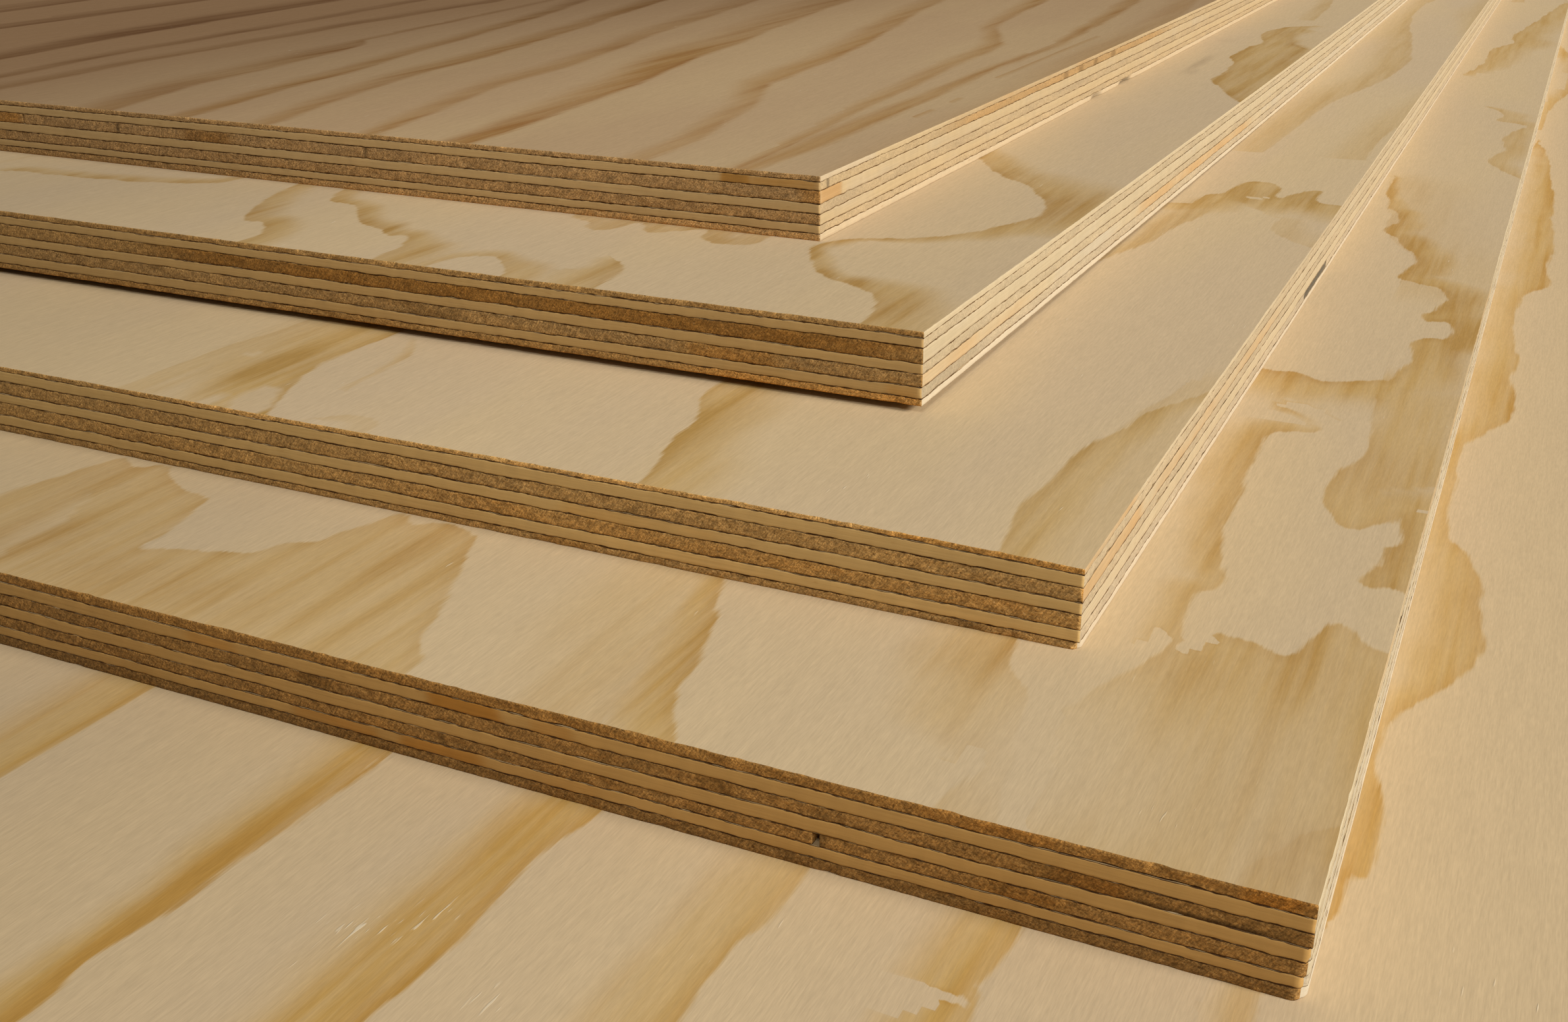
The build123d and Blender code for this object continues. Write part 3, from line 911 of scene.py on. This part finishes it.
def add_figure(mesh, sheet, points):
    """The face's figure, as attributes in metres and shares."""
    figure = face_figure(sheet, points)
    for layer in range(2):
        set_attribute(mesh, f"contour_{layer}", figure.distance[layer] * MM)
        set_attribute(mesh, f"strength_{layer}", figure.strength[layer])
    set_attribute(mesh, "deep", figure.deep)
    set_attribute(mesh, "smudge", figure.spotted(SMUDGES if sheet.name == "sheet_4" else ()))
    set_attribute(mesh, "torn", figure.spotted(TORN_SPOTS if sheet.name == "sheet_1" else ()))
    set_attribute(mesh, "heart", figure.heartwood() if sheet.name == "sheet_5" else np.zeros(len(points)))


# Veneers with a hue of their own, from -1, grey, to 1, orange; the others are seeded in SEEDED_TONES
TONES = {
    "sheet_2_face_veneer": 0.1,
    "sheet_2_upper_core": -0.55,
    "sheet_2_lower_core": -0.55,
    "sheet_2_back_veneer": -0.85,
    "sheet_3_face_veneer": 0.25,
    "sheet_3_upper_core": -0.20,
    "sheet_3_lower_core": -0.10,
    "sheet_3_back_veneer": -0.30,
    "sheet_4_face_veneer": 0.10,
    "sheet_4_upper_core": -0.20,
    "sheet_4_lower_core": -0.50,
    "sheet_4_back_veneer": 0.25,
    "sheet_5_face_veneer": -0.10,
    "sheet_5_upper_core": -0.35,
    "sheet_5_lower_core": -0.25,
    "sheet_5_back_veneer": 0.10,
}
SEEDED_TONES = (-0.35, 0.15)


def tone_of(sheet, veneer):
    """The hue of one veneer's edges."""
    node = f"{sheet.name}_{VENEERS[veneer]}"
    seeded = np.random.default_rng(10 * sheet.number + veneer).uniform(*SEEDED_TONES)
    return TONES.get(node, seeded)


class Shader:
    """A material being wired: each method adds a node and returns its output."""

    def __init__(self, name):
        self.material = bpy.data.materials.new(name)
        self.material.use_nodes = True
        self.tree = self.material.node_tree
        self.principled = self.tree.nodes["Principled BSDF"]

    def node(self, kind, inputs, **settings):
        """A node with its settings and inputs: a value, or the output of another node."""
        made = self.tree.nodes.new(kind)
        for key, value in settings.items():
            setattr(made, key, value)
        for key, value in inputs.items():
            if isinstance(value, bpy.types.NodeSocket):
                self.tree.links.new(value, made.inputs[key])
            else:
                made.inputs[key].default_value = value
        return made

    def attribute(self, name):
        """A number that the mesh has for each point."""
        return self.node("ShaderNodeAttribute", {}, attribute_name=name).outputs["Fac"]

    def math(self, operation, first, second):
        """One calculation with two numbers."""
        return self.node("ShaderNodeMath", {0: first, 1: second}, operation=operation).outputs[0]

    def add(self, first, second):
        return self.math("ADD", first, second)

    def times(self, first, second):
        return self.math("MULTIPLY", first, second)

    def centred(self, noise):
        """The noise about 0."""
        return self.add(noise, -0.5)

    def ramp(self, value, start, end, low=0.0, high=1.0):
        """low before start, high after end, smooth between."""
        inputs = {"Value": value, "From Min": start, "From Max": end, "To Min": low, "To Max": high}
        return self.node("ShaderNodeMapRange", inputs, interpolation_type="SMOOTHSTEP").outputs[0]

    def spread(self, noise, low, high):
        """low where the noise is low, high where it is high."""
        return self.ramp(noise, 0.25, 0.75, low, high)

    def coordinates(self, x, y, z):
        """Object coordinates with features x, y and z metres long."""
        place = self.node("ShaderNodeTexCoord", {}).outputs["Object"]
        scale = (1 / x, 1 / y, 1 / z)
        return self.node("ShaderNodeVectorMath", {0: place, 1: scale}, operation="MULTIPLY").outputs[0]

    def noise(self, x, y, z, detail=2.0, roughness=0.5):
        """Noise about 0.5, with features x, y and z metres long."""
        inputs = {"Vector": self.coordinates(x, y, z), "Scale": 1.0, "Detail": detail, "Roughness": roughness}
        return self.node("ShaderNodeTexNoise", inputs).outputs[0]

    def strokes(self, length, width, slant):
        """Noise about 0.5 in strokes that lean to the right by slant degrees on a front edge."""
        place = self.node("ShaderNodeTexCoord", {}).outputs["Object"]
        turn = (0.0, math.radians(-slant), 0.0)
        inputs = {"Vector": place, "Rotation": turn, "Scale": (length, 2 * width, width)}
        leaning = self.node("ShaderNodeMapping", inputs, vector_type="TEXTURE").outputs[0]
        return self.node("ShaderNodeTexNoise", {"Vector": leaning, "Scale": 1.0, "Detail": 2.0}).outputs[0]

    def mix(self, share, first, second, blend="MIX"):
        """Two colours mixed."""
        made = self.node("ShaderNodeMix", {0: share}, data_type="RGBA", blend_type=blend)
        for socket, value in ((6, first), (7, second)):
            if isinstance(value, bpy.types.NodeSocket):
                self.tree.links.new(value, made.inputs[socket])
            else:
                made.inputs[socket].default_value = (*value, 1.0)
        return made.outputs[2]

    def shade(self, colour, level):
        """The colour times a level."""
        grey = self.node("ShaderNodeCombineColor", {0: level, 1: level, 2: level}).outputs[0]
        return self.mix(1.0, colour, grey, blend="MULTIPLY")

    def finish(self, colour, roughness, height=None, bump=0.0, specular=0.3):
        """Joins the colour, roughness and bump (a height in metres) to the surface."""
        self.tree.links.new(colour, self.principled.inputs["Base Color"])
        self.tree.links.new(roughness, self.principled.inputs["Roughness"])
        self.principled.inputs["Specular IOR Level"].default_value = specular
        if height is not None:
            made = self.node("ShaderNodeBump", {"Height": height, "Strength": 1.0, "Distance": bump})
            self.tree.links.new(made.outputs[0], self.principled.inputs["Normal"])
        return self.material


# Colours of one sheet's face, scene-linear
FaceLook = namedtuple("FaceLook", "pale grey late deep")

FACE_LOOKS = {
    "sheet_1": FaceLook((0.59, 0.432, 0.242), (0.57, 0.42, 0.245), (0.53, 0.33, 0.105), (0.45, 0.24, 0.052)),
    "sheet_2": FaceLook((0.585, 0.43, 0.24), (0.56, 0.415, 0.243), (0.52, 0.333, 0.122),
                        (0.425, 0.24, 0.066)),
    "sheet_3": FaceLook((0.59, 0.434, 0.242), (0.565, 0.418, 0.248), (0.52, 0.335, 0.124),
                        (0.42, 0.245, 0.07)),
    "sheet_4": FaceLook((0.583, 0.428, 0.242), (0.56, 0.414, 0.245), (0.5, 0.322, 0.122),
                        (0.395, 0.222, 0.062)),
    "sheet_5": FaceLook((0.545, 0.38, 0.2), (0.515, 0.35, 0.188), (0.44, 0.245, 0.078), (0.34, 0.155, 0.04)),
}
SMUDGE_COLOUR = (0.14, 0.085, 0.05)
HEARTWOOD = (0.322, 0.184, 0.084)
HEART_LATE = (0.190, 0.088, 0.028)
HEART_DEEP = (0.150, 0.062, 0.017)
TORN_WOOD = (0.74, 0.62, 0.43)

# How bright the faces are next to each other
FACE_TONES = {"sheet_5": 0.86, "sheet_4": 0.93, "sheet_3": 0.98, "sheet_2": 1.0, "sheet_1": 1.0}

# The faces are painted darker inside the stack than along their right edges, a painted shade for the light
# falling off there: how far from the right edge that starts and is complete, in metres, and how bright they
# are there
INNER_SHADE_REACH = (0.12, 0.33)
INNER_SHADE_LEVEL = 0.78

# Features of the faces' noises: width, length along the sheet and depth, in metres
GRAIN = (0.0020, 0.045, 1.0)
HAIR = (0.00055, 0.011, 1.0)
FIBRE = (0.00028, 0.0030, 1.0)
CLOUD = (0.055, 0.240, 1.0)
BRUSH = (0.0060, 0.110, 1.0)
NICK = (0.0008, 0.0060, 1.0)
NICK_PATCH = (0.018, 0.035, 1.0)

# How far grain and hair fray the sharp side of the latewood, how soft that side is on the lower sheets and
# on the top sheet, and where its deeper rim ends, in metres
GRAIN_FRAY = 0.0024
HAIR_FRAY = 0.0018
SOFTNESS = 0.0006
TOP_SOFTNESS = 0.0020
RIM = (0.0004, 0.0050)


def latewood(s, softness, grain, hair):
    """How much of the surface is latewood, and how much of that is deep in colour."""
    brush = s.noise(*BRUSH)
    fray = s.add(s.times(s.centred(grain), GRAIN_FRAY), s.times(s.centred(hair), HAIR_FRAY))
    amounts = []
    rims = []
    for layer in range(2):
        distance = s.add(s.attribute(f"contour_{layer}"), fray)
        strength = s.attribute(f"strength_{layer}")
        amounts.append(s.times(s.ramp(distance, -softness, 1.3 * softness), strength))
        rims.append(s.times(amounts[-1], s.ramp(distance, *RIM, 1.0, 0.0)))
    late = s.times(s.math("MAXIMUM", *amounts), s.ramp(brush, 0.30, 0.70, 0.78, 1.15))
    late = s.times(late, s.spread(grain, 0.88, 1.12))
    deep = s.add(s.times(s.math("MAXIMUM", *rims), 0.50), s.ramp(brush, 0.45, 0.75, 0.0, 0.55))
    deep = s.add(deep, s.times(s.attribute("deep"), s.spread(grain, 0.65, 1.15)))
    return late, s.times(s.math("MINIMUM", deep, 1.0), s.spread(hair, 0.88, 1.0))


def torn_nicks(s):
    """Small nicks torn along the grain, scattered and in the torn spots, and how pale they are."""
    torn = s.attribute("torn")
    patchy = s.math("MAXIMUM", s.ramp(s.noise(*NICK_PATCH, detail=1.0), 0.60, 0.70), torn)
    nick = s.add(s.noise(*NICK, detail=1.0), s.times(torn, 0.13))
    nicks = s.times(s.ramp(nick, 0.70, 0.78), patchy)
    return nicks, s.times(nicks, s.add(0.45, s.times(torn, 0.3)))


def face_brightness_and_painted_shade(s, sheet_name):
    """The brightness of a face: its own tone, with painted shade inside the stack."""
    tone = FACE_TONES[sheet_name]
    start, complete = (sheets[sheet_name].corner[0] - reach for reach in INNER_SHADE_REACH)
    x = s.node("ShaderNodeSeparateXYZ", {0: s.coordinates(1, 1, 1)}).outputs[0]
    return s.ramp(x, complete, start, INNER_SHADE_LEVEL * tone, tone)


def face_material(sheet_name, look):
    """Sanded rotary-cut pine: pale early wood, contoured late wood, fine grain along the sheet."""
    s = Shader(f"{sheet_name}_face")
    grain = s.noise(*GRAIN, detail=3.0, roughness=0.6)
    hair = s.noise(*HAIR, detail=3.0, roughness=0.6)
    fibre = s.noise(*FIBRE)
    early = s.mix(s.ramp(s.noise(*CLOUD), 0.35, 0.65), look.pale, look.grey)
    late_colour, deep_colour, softness = look.late, look.deep, SOFTNESS
    if sheet_name == "sheet_5":
        heart = s.attribute("heart")
        early = s.mix(heart, early, HEARTWOOD)
        late_colour = s.mix(heart, look.late, HEART_LATE)
        deep_colour = s.mix(heart, look.deep, HEART_DEEP)
        softness = TOP_SOFTNESS
    late, deep = latewood(s, softness, grain, hair)
    colour = s.mix(late, early, s.mix(deep, late_colour, deep_colour))
    lines = s.times(s.spread(grain, 1.02, 0.978), s.spread(hair, 1.05, 0.95))
    colour = s.shade(colour, s.times(lines, s.spread(fibre, 1.05, 0.95)))
    nicks, paleness = torn_nicks(s)
    colour = s.mix(paleness, colour, TORN_WOOD)
    colour = s.mix(s.attribute("smudge"), colour, SMUDGE_COLOUR)
    # painted shade: the faces darker inside the stack, away from their right edges
    colour = s.shade(colour, face_brightness_and_painted_shade(s, sheet_name))
    height = s.add(s.times(hair, 0.5), s.add(s.times(fibre, 0.4), s.times(nicks, 1.2)))
    return s.finish(colour, s.ramp(hair, 0.2, 0.8, 0.60, 0.72), height, bump=0.00003, specular=0.14)


# Colours of one kind of sawn edge, scene-linear, how thick its glue lines are, in metres, and how speckled
# it is. The front kinds (core_end, crossband_long) are darker and more orange than the right kinds, glue and
# pores too: partly their grain, partly painted shade and painted warm bounce light on the fronts
EdgeLook = namedtuple("EdgeLook", "main grey warm dark glue glue_width speckle", defaults=(0.0,))

EDGE_LOOKS = {
    "core_end": EdgeLook((0.435, 0.268, 0.105), (0.400, 0.262, 0.120), (0.445, 0.228, 0.058),
                         (0.13, 0.066, 0.020), (0.070, 0.030, 0.008), 0.00020, speckle=0.42),
    "crossband_long": EdgeLook((0.550, 0.371, 0.162), (0.536, 0.374, 0.174), (0.535, 0.278, 0.066),
                               (0.38, 0.22, 0.075), (0.070, 0.030, 0.008), 0.00017),
    "core_long": EdgeLook((0.560, 0.430, 0.244), (0.540, 0.436, 0.282), (0.560, 0.342, 0.142),
                          (0.40, 0.25, 0.11), (0.13, 0.062, 0.018), 0.00015),
    "crossband_end": EdgeLook((0.505, 0.380, 0.213), (0.480, 0.372, 0.228), (0.510, 0.322, 0.138),
                              (0.30, 0.19, 0.09), (0.12, 0.056, 0.016), 0.00016, speckle=0.14),
}

# Each sheet's edges have a hue of their own, and the front tints also hold painted shade and painted warm
# bounce light, as the fronts face away from the key lamp: end grain in front, long grain in front, the right
# side
EDGE_TINTS_AND_PAINTED_SHADE = {
    "sheet_1": ((1.00, 0.90, 0.72), (1.00, 0.92, 0.80), (1.00, 1.00, 1.00)),
    "sheet_2": ((0.82, 0.65, 0.40), (0.92, 0.78, 0.55), (0.90, 0.93, 0.99)),
    "sheet_3": ((1.06, 0.96, 0.76), (1.06, 1.00, 0.84), (0.90, 0.89, 0.91)),
    "sheet_4": ((0.98, 0.88, 0.70), (0.96, 0.89, 0.76), (0.91, 0.91, 0.93)),
    "sheet_5": ((1.03, 0.95, 0.88), (1.02, 0.99, 0.96), (0.87, 0.81, 0.74)),
}

# Features of the sawn edges' noises, in metres; strokes have a length, a width and a slant in degrees
END_PATCH = (0.022, 0.022, 0.005)
SPECK = (0.00045, 0.00045, 0.00040)
CRUMB = (0.0014, 0.0014, 0.0008)
CLUMP = (0.0030, 0.0030, 0.0016)
PORE = (0.0008, 0.0008, 0.0005)
END_FIBRE = (0.0014, 0.00030, 55)
PAINTED_GLINT = (0.0006, 0.00024, 75)
PAINTED_GLINT_COLOUR = (0.85, 0.68, 0.46)
LONG_PATCH = (0.030, 0.030, 0.006)
BAR = (0.0035, 0.0035, 0.012)
FLAW = (0.006, 0.006, 0.0011)
STREAK_LENGTH, STREAK_WIDTH, STREAK_HEIGHT = 0.030, 0.0012, 0.00045
GLUE_UNEVEN = (0.0018, 0.0018, 0.0018)
GLUE_PRESENT = (0.013, 0.013, 0.002)


def glue_line(s, width):
    """1 on the glue, 0 on the wood: a thin line of uneven width that fades out in places."""
    present = s.noise(*GLUE_PRESENT, detail=1.0)
    reach = s.times(s.spread(s.noise(*GLUE_UNEVEN), 0.45, 1.45), s.ramp(present, 0.30, 0.52, 0.55, 1.0))
    gap = s.math("DIVIDE", s.attribute("glue"), s.times(reach, width))
    return s.ramp(gap, 0.65, 1.10, 1.0, 0.0)


def wood_hue(s, look, hue, warm, grey):
    """The main colour, warmer or greyer as the hue passes through those two ranges."""
    colour = s.mix(s.ramp(hue, *warm), look.main, look.warm)
    return s.mix(s.ramp(hue, *grey), colour, look.grey)


def sawn(s, look, colour, depth, tint):
    """The colour with the edge's own dark stretches, its tint, and glue lines over it."""
    level = s.add(1.0, s.times(s.attribute("dark"), depth - 1))
    colour = s.mix(1.0, s.shade(colour, level), tint, blend="MULTIPLY")
    return s.mix(glue_line(s, look.glue_width), colour, look.glue)


def end_grain(name, look, tint):
    """Sawn across the fibres: fibrous and speckled, with torn pores and a few painted glints."""
    s = Shader(name)
    speckle = look.speckle
    patch = s.noise(*END_PATCH, detail=3.0, roughness=0.6)
    speck = s.noise(*SPECK, detail=3.0, roughness=0.75)
    crumb = s.noise(*CRUMB, roughness=0.6)
    clump = s.noise(*CLUMP, detail=3.0, roughness=0.7)
    pore = s.noise(*PORE, detail=1.0)
    hue = s.add(s.times(s.centred(patch), 0.22), s.times(s.attribute("tone"), 0.25))
    colour = wood_hue(s, look, hue, (0.02, 0.30), (0.02, -0.22))
    light = s.ramp(s.add(speck, s.times(s.centred(crumb), 0.5)), 0.20, 0.80, 1 - speckle, 1 + speckle)
    light = s.times(light, s.ramp(patch, 0.30, 0.70, 0.93, 1.06))
    light = s.times(light, s.ramp(clump, 0.30, 0.70, 1 - 0.3 * speckle, 1 + 0.3 * speckle))
    light = s.times(light, s.spread(s.strokes(*END_FIBRE), 1 - 0.7 * speckle, 1 + 0.7 * speckle))
    colour = s.shade(colour, light)
    colour = s.mix(s.ramp(pore, 0.66, 0.78, 0.0, 2 * speckle), colour, look.dark)
    # painted glints: pale strokes for fibre ends catching the light
    painted_glint = s.ramp(s.strokes(*PAINTED_GLINT), 0.70, 0.80)
    colour = s.mix(s.times(painted_glint, 2.0 * speckle), colour, PAINTED_GLINT_COLOUR)
    height = s.add(s.times(speck, 0.5), s.add(s.times(crumb, 0.8), s.times(pore, -0.7)))
    rough = s.ramp(speck, 0.3, 0.7, 0.72, 0.5)
    return s.finish(sawn(s, look, colour, 0.45, tint), rough, height, bump=0.0008 * speckle, specular=0.10)


def long_grain(name, look, along_x, tint):
    """Sawn along the fibres: smooth, with faint streaks and slow changes of hue."""
    s = Shader(name)
    run = (STREAK_LENGTH, STREAK_WIDTH) if along_x else (STREAK_WIDTH, STREAK_LENGTH)
    streak = s.noise(*run, STREAK_HEIGHT, detail=3.0, roughness=0.6)
    patch = s.noise(*LONG_PATCH, roughness=0.55)
    bar = s.noise(*BAR)
    hue = s.add(s.times(s.centred(patch), 0.35), s.times(s.attribute("tone"), 0.28))
    colour = wood_hue(s, look, hue, (0.08, 0.40), (-0.04, -0.24))
    colour = s.shade(colour, s.times(s.spread(streak, 0.94, 1.05), s.spread(bar, 0.96, 1.03)))
    colour = s.mix(s.times(s.ramp(s.noise(*FLAW), 0.68, 0.78), 0.4), colour, look.dark)
    height = s.add(s.times(streak, 0.7), s.times(bar, 0.3))
    rough = s.ramp(streak, 0.3, 0.7, 0.62, 0.5)
    return s.finish(sawn(s, look, colour, 0.5, tint), rough, height, bump=0.00006, specular=0.12)


INSIDE_GRAIN = (0.002, 0.040, 0.002)
INSIDE_COLOURS = ((0.50, 0.36, 0.19), (0.36, 0.24, 0.11))


def inside_material():
    """The glued surfaces between veneers, which the stack hides."""
    s = Shader("veneer_inside")
    grain = s.noise(*INSIDE_GRAIN)
    return s.finish(s.mix(grain, *INSIDE_COLOURS), s.ramp(grain, 0.2, 0.8, 0.6, 0.8), grain, bump=0.0001)


def make_materials():
    """Every material by name."""
    made = {name: face_material(name, look) for name, look in FACE_LOOKS.items()}
    # the front tints carry painted shade and painted warm bounce light as well as the wood's hue
    for sheet_name, (end_tint, long_tint, right_tint) in EDGE_TINTS_AND_PAINTED_SHADE.items():
        for kind, tint in (("core_end", end_tint), ("crossband_end", right_tint)):
            name = f"{sheet_name}_{kind}"
            made[name] = end_grain(name, EDGE_LOOKS[kind], tint)
        for kind, along_x, tint in (("crossband_long", True, long_tint), ("core_long", False, right_tint)):
            name = f"{sheet_name}_{kind}"
            made[name] = long_grain(name, EDGE_LOOKS[kind], along_x, tint)
    made["inside"] = inside_material()
    return made


def make_pieces(materials):
    """One mesh for each veneer, in place of its CAD node."""
    for sheet in sheets.values():
        for veneer, name in enumerate(VENEERS):
            node = f"{sheet.name}_{name}"
            mesh = veneer_mesh(sheet, veneer, node)
            front, right = ("crossband_long", "crossband_end") if veneer % 2 else ("core_end", "core_long")
            for kind in (sheet.name, f"{sheet.name}_{front}", f"{sheet.name}_{right}", "inside"):
                mesh.materials.append(materials[kind])
            piece = bpy.data.objects.new(f"{node}_look", mesh)
            bpy.context.scene.collection.objects.link(piece)
            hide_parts(node)
            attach(piece, "root")


FLOOR_HALF = 12.0
FLOOR_COLOURS = ((0.80, 0.80, 0.79), (0.84, 0.84, 0.83))


def make_floor():
    """A plain pale floor."""
    s = Shader("studio_floor")
    cloud = s.noise(0.5, 0.5, 0.5)
    s.finish(s.mix(cloud, *FLOOR_COLOURS), s.ramp(cloud, 0.2, 0.8, 0.75, 0.85))
    mesh = bpy.data.meshes.new("studio_floor")
    corners = [(x * FLOOR_HALF, y * FLOOR_HALF, 0) for x, y in ((-1, -1), (1, -1), (1, 1), (-1, 1))]
    mesh.from_pydata(corners, [], [(0, 1, 2, 3)])
    mesh.materials.append(s.material)
    floor = bpy.data.objects.new("studio_floor", mesh)
    bpy.context.scene.collection.objects.link(floor)


# Two soft lamps: the direction each stands in, its strength and its width in degrees
LAMPS = {
    "key": ((0.892, -0.03, 0.447), 4.15, 15.5),
    "fill": ((0.14, -0.56, 0.817), 0.92, 18.5),
}


def make_light(name, direction, strength, angle):
    """A soft lamp far away in a direction, as wide as angle in degrees."""
    lamp = bpy.data.lights.new(name, "SUN")
    lamp.energy = strength
    lamp.angle = math.radians(angle)
    made = bpy.data.objects.new(name, lamp)
    made.matrix_world = Vector(direction).to_track_quat("Z", "Y").to_matrix().to_4x4()
    bpy.context.scene.collection.objects.link(made)


SKY_LEVEL = 0.12
SKY_COLOUR = (1.0, 0.99, 0.97, 1.0)


def make_world():
    """A soft even sky, which the camera sees as white."""
    world = bpy.data.worlds.new("studio")
    bpy.context.scene.world = world
    world.use_nodes = True
    nodes, links = world.node_tree.nodes, world.node_tree.links
    sky = nodes["Background"]
    sky.inputs["Color"].default_value = SKY_COLOUR
    sky.inputs["Strength"].default_value = SKY_LEVEL
    white = nodes.new("ShaderNodeBackground")
    white.inputs["Color"].default_value = (1.0, 1.0, 1.0, 1.0)
    path = nodes.new("ShaderNodeLightPath")
    seen = nodes.new("ShaderNodeMixShader")
    links.new(path.outputs["Is Camera Ray"], seen.inputs[0])
    links.new(sky.outputs[0], seen.inputs[1])
    links.new(white.outputs[0], seen.inputs[2])
    links.new(seen.outputs[0], nodes["World Output"].inputs["Surface"])


# The camera stands close to the stepped corner: its place from the second sheet's front right
# corner at the lowest sheet's face, in metres, and its angles in degrees
CAMERA_OFFSET = (0.0150, -0.2097, 0.1645)
CAMERA_DOWN = 23.165
CAMERA_LEFT = 25.818
CAMERA_ROLL = -0.218
CAMERA_LENS = 37.39
SENSOR_WIDTH = 36.0


def make_camera():
    """The photograph's view."""
    camera = bpy.data.cameras.new("camera")
    camera.lens = CAMERA_LENS
    camera.sensor_width = SENSOR_WIDTH
    camera.clip_start = 0.01
    camera.clip_end = 100.0
    place = np.add((*sheets["sheet_2"].corner, sheets["sheet_1"].levels[0]), CAMERA_OFFSET)
    turn = Matrix.Rotation(math.radians(CAMERA_LEFT), 3, "Z")
    turn @= Matrix.Rotation(math.radians(90 - CAMERA_DOWN), 3, "X")
    turn @= Matrix.Rotation(math.radians(CAMERA_ROLL), 3, "Z")
    made = bpy.data.objects.new("camera", camera)
    made.matrix_world = Matrix.Translation(place.tolist()) @ turn.to_4x4()
    bpy.context.scene.collection.objects.link(made)
    bpy.context.scene.camera = made


make_camera()
make_pieces(make_materials())
make_floor()
make_world()
for lamp_name, lamp in LAMPS.items():
    make_light(lamp_name, *lamp)
bpy.context.scene.view_settings.view_transform = "Standard"
